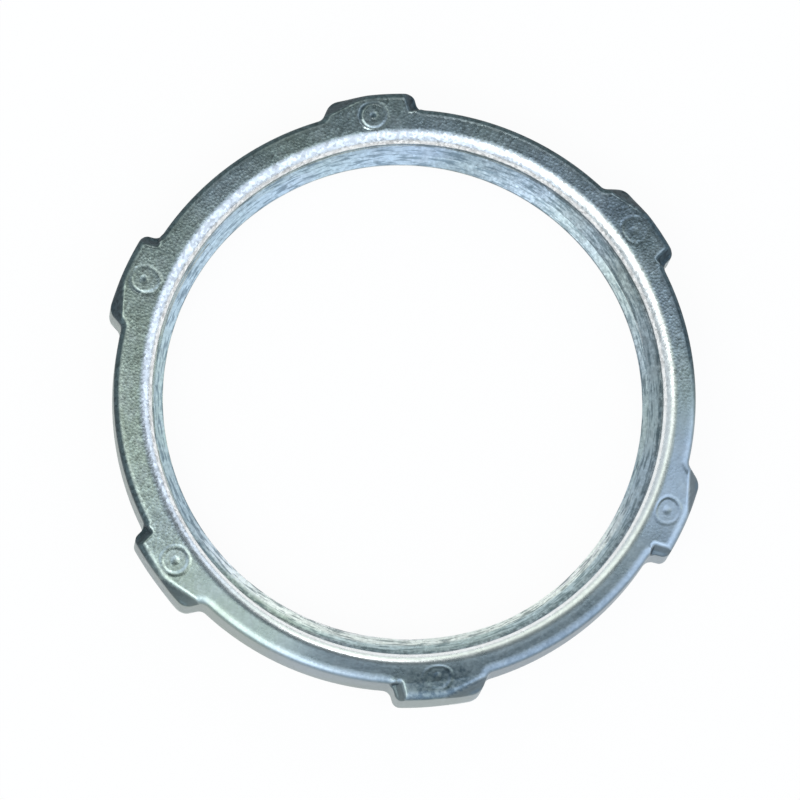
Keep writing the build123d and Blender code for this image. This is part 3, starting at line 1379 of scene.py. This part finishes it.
@dataclass
class Studio:
    """The floor, the soft light and the camera.

    Directions are degrees in the picture, counter-clockwise from its right.
    """

    picture_turn_degrees: float = 23.0
    tilt_degrees: float = 10.0
    tilt_toward_degrees: float = 250.0
    field_mm: float = 114.7
    lens: float = 400.0
    sensor: float = 36.0
    aim_height_mm: float = 5.15
    aim_right_mm: float = -0.54
    aim_up_mm: float = -0.07
    floor_half: float = 3.0
    # The room's light by the height that it comes from. Levels are linear, and 1 is as bright as white.
    horizon: tuple[float, ...] = (0.85, 0.88, 0.9, 1.0)
    zenith: tuple[float, ...] = (0.86, 0.88, 0.9, 1.0)
    sky: tuple[tuple[float, float], ...] = ((0.25, 1.05), (0.5, 1.25), (0.85, 1.2), (0.96, 1.0))
    sky_tint: tuple[float, ...] = (0.97, 1.0, 1.03)
    # The light is cooler on one side.
    cool_toward: float = 320.0
    cool_side: Ramp = Ramp(-0.10, 0.06)
    warm_tint: tuple[float, ...] = (0.95, 1.0, 0.90, 1.0)
    cool_tint: tuple[float, ...] = (0.90, 0.99, 1.13, 1.0)
    # The light is lower from the left.
    low_toward: float = 180.0
    low_side: Ramp = Ramp(0.55, 0.78)
    low_height: Ramp = Ramp(0.75, 0.62)
    low_level: tuple[float, ...] = (0.58, 0.64, 0.68, 1.0)
    # A dark place overhead: the leans from the zenith between which it lies, with the first one set askew
    dark_toward: float = 70.0
    dark_start: Ramp = Ramp(math.radians(9.0), math.radians(13.5))
    dark_end: Ramp = Ramp(math.radians(66.0), math.radians(48.0))
    dark_side: Ramp = Ramp(0.68, 0.38)
    dark_skew: float = 0.35
    dark_level: tuple[float, ...] = (0.07, 0.10, 0.11, 1.0)
    lamps: tuple[Softbox, ...] = (
        Softbox("key", 215.0, 38.0, 0.8, 2.2),
        Softbox("sparkle", 75.0, 52.0, 0.12, 0.6),
    )

    def bearing(self, picture_degrees: float) -> float:
        """Turns a direction in the picture, counter-clockwise, into an angle about the nut's axis."""
        return math.radians(picture_degrees + self.picture_turn_degrees)

    def direction(self, picture_degrees: float, from_zenith_degrees: float) -> Vector:
        """Finds a direction in space.

        Args:
            picture_degrees: Its direction in the picture.
            from_zenith_degrees: Its angle from straight up.

        Returns:
            The unit direction.
        """
        a, t = self.bearing(picture_degrees), math.radians(from_zenith_degrees)
        return Vector((math.sin(t) * math.cos(a), math.sin(t) * math.sin(a), math.cos(t)))

    def camera(self) -> bpy.types.Object:
        """Places the camera at the photograph's viewing angle.

        Returns:
            The camera.
        """
        data = bpy.data.cameras.new("camera")
        data.lens = self.lens
        data.sensor_width = self.sensor
        data.clip_start, data.clip_end = 0.01, 10.0
        camera = add_object("camera", data)
        back = self.direction(self.tilt_toward_degrees, self.tilt_degrees)
        up_hint = self.direction(90.0, 90.0)
        right = up_hint.cross(back).normalized()
        up = back.cross(right).normalized()
        aim = Vector((0, 0, self.aim_height_mm)) + right * self.aim_right_mm + up * self.aim_up_mm
        distance = self.lens / self.sensor * self.field_mm
        turn = Matrix((right, up, back)).transposed().to_4x4()
        camera.matrix_world = Matrix.Translation((aim + back * distance) * MM) @ turn
        bpy.context.scene.camera = camera
        return camera

    def floor(self, finish: StudioPaper) -> bpy.types.Object:
        """Lays the paper under the nut.

        Args:
            finish: The paper.

        Returns:
            The floor.
        """
        mesh = bpy.data.meshes.new("floor")
        s = self.floor_half
        mesh.from_pydata([(-s, -s, 0), (s, -s, 0), (s, s, 0), (-s, s, 0)], [], [(0, 1, 2, 3)])
        floor = add_object("floor", mesh)
        floor.data.materials.append(finish.material())
        return floor

    @staticmethod
    def zone(
        tree: bpy.types.NodeTree, sides: tuple[tuple[bpy.types.NodeSocket, Ramp], ...]
    ) -> bpy.types.NodeSocket:
        """Adds a zone of the room with soft edges.

        Args:
            tree: The world's node tree.
            sides: For each side of the zone a socket, and the ramp of its values into the zone.

        Returns:
            The socket of the zone's share.
        """
        zone = None
        for value, ramp in sides:
            side = add_node(
                tree,
                "ShaderNodeMapRange",
                {"interpolation_type": "SMOOTHSTEP", "From Min": ramp.zero, "From Max": ramp.one},
                {"Value": value},
            ).outputs["Result"]
            if zone is None:
                zone = side
            else:
                settings = {"operation": "MULTIPLY"}
                zone = add_node(tree, "ShaderNodeMath", settings, {0: zone, 1: side}).outputs[0]
        return zone

    def world(self) -> None:
        """Makes the room's soft light: bright all round, lower at the left, with a dark place overhead."""
        world = bpy.data.worlds.new("studio")
        bpy.context.scene.world = world
        world.use_nodes = True
        tree = world.node_tree
        tree.nodes.clear()
        look = add_node(tree, "ShaderNodeTexCoord").outputs["Generated"]
        parts = {}
        for name, way in (
            ("ahead", self.direction(self.dark_toward, 90.0)),
            ("aside", self.direction(self.dark_toward + 90.0, 90.0)),
            ("up", Vector((0, 0, 1))),
            ("cool", self.direction(self.cool_toward, 90.0)),
            ("low", self.direction(self.low_toward, 90.0)),
        ):
            dot = add_node(
                tree, "ShaderNodeVectorMath", {"operation": "DOT_PRODUCT", 1: way}, {0: look}
            )
            parts[name] = dot.outputs["Value"]
        lean = add_node(
            tree, "ShaderNodeMath", {"operation": "ARCTAN2"}, {0: parts["ahead"], 1: parts["up"]}
        )
        off = add_node(tree, "ShaderNodeMath", {"operation": "ABSOLUTE"}, {0: parts["aside"]})
        edge = add_node(
            tree,
            "ShaderNodeMath",
            {"operation": "MULTIPLY_ADD", 1: self.dark_skew},
            {0: parts["aside"], 2: lean.outputs[0]},
        )
        dark = self.zone(
            tree,
            (
                (edge.outputs[0], self.dark_start),
                (lean.outputs[0], self.dark_end),
                (off.outputs[0], self.dark_side),
            ),
        )
        low = self.zone(tree, ((parts["low"], self.low_side), (parts["up"], self.low_height)))
        ramp = add_node(tree, "ShaderNodeValToRGB", None, {0: parts["up"]})
        stops = ramp.color_ramp.elements
        stops[0].color, stops[1].color = self.horizon, self.zenith
        for position, level in self.sky:
            stops.new(position).color = (*(level * tint for tint in self.sky_tint), 1.0)
        side = add_node(
            tree,
            "ShaderNodeMapRange",
            {"From Min": self.cool_side.zero, "From Max": self.cool_side.one},
            {"Value": parts["cool"]},
        )
        tint = add_node(
            tree,
            "ShaderNodeMix",
            {"data_type": "RGBA", 6: self.warm_tint, 7: self.cool_tint},
            {0: side.outputs["Result"]},
        )
        colour = add_node(
            tree,
            "ShaderNodeMix",
            {"data_type": "RGBA", "blend_type": "MULTIPLY", 0: 1.0},
            {6: ramp.outputs["Color"], 7: tint.outputs[2]},
        ).outputs[2]
        seen = add_node(tree, "ShaderNodeLightPath").outputs["Is Camera Ray"]
        for share, level in (
            (low, self.low_level),
            (dark, self.dark_level),
            (seen, srgb("#FFFFFF")),
        ):
            settings = {"data_type": "RGBA", 7: level}
            colour = add_node(tree, "ShaderNodeMix", settings, {0: share, 6: colour}).outputs[2]
        sky = add_node(tree, "ShaderNodeBackground", {"Strength": 1.0}, {"Color": colour})
        add_node(tree, "ShaderNodeOutputWorld", None, {"Surface": sky.outputs[0]})

    def hang(self, box: Softbox) -> bpy.types.Object:
        """Hangs one soft lamp that faces the nut.

        Args:
            box: The lamp's place, size and power.

        Returns:
            The lamp.
        """
        data = bpy.data.lights.new(box.name, "AREA")
        data.shape = "SQUARE"
        data.size = box.size
        data.energy = box.power
        lamp = add_object(box.name, data)
        way = self.direction(box.toward, box.from_zenith)
        lamp.location = way * box.distance
        lamp.rotation_mode = "QUATERNION"
        lamp.rotation_quaternion = way.to_track_quat("Z", "Y")
        return lamp


def main() -> None:
    """Builds the studio and the nut, and reports each piece."""
    logging.basicConfig(level=logging.INFO, format="%(name)s: %(message)s", stream=sys.stdout)
    bpy.context.scene.view_settings.view_transform = "Standard"
    _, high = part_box("locknut")
    hole = next(m for m in frame["record"]["mounts"] if m["name"] == "thread")
    nut = Locknut(
        top=high[2] / MM,
        outline=LugOutline(lug_radius=high[0] / MM),
        thread=ThreadForm(minor_radius=hole["dims"]["r_mm"]),
    )
    piece = nut.build()
    nut.dress(piece, ZincPlate())
    log.info("%s: plated", piece.name)
    studio = Studio()
    studio.world()
    placed = [studio.camera(), studio.floor(StudioPaper())]
    placed += [studio.hang(box) for box in studio.lamps]
    for thing in placed:
        log.info("%s: placed", thing.name)


if __name__ == "__main__":
    main()
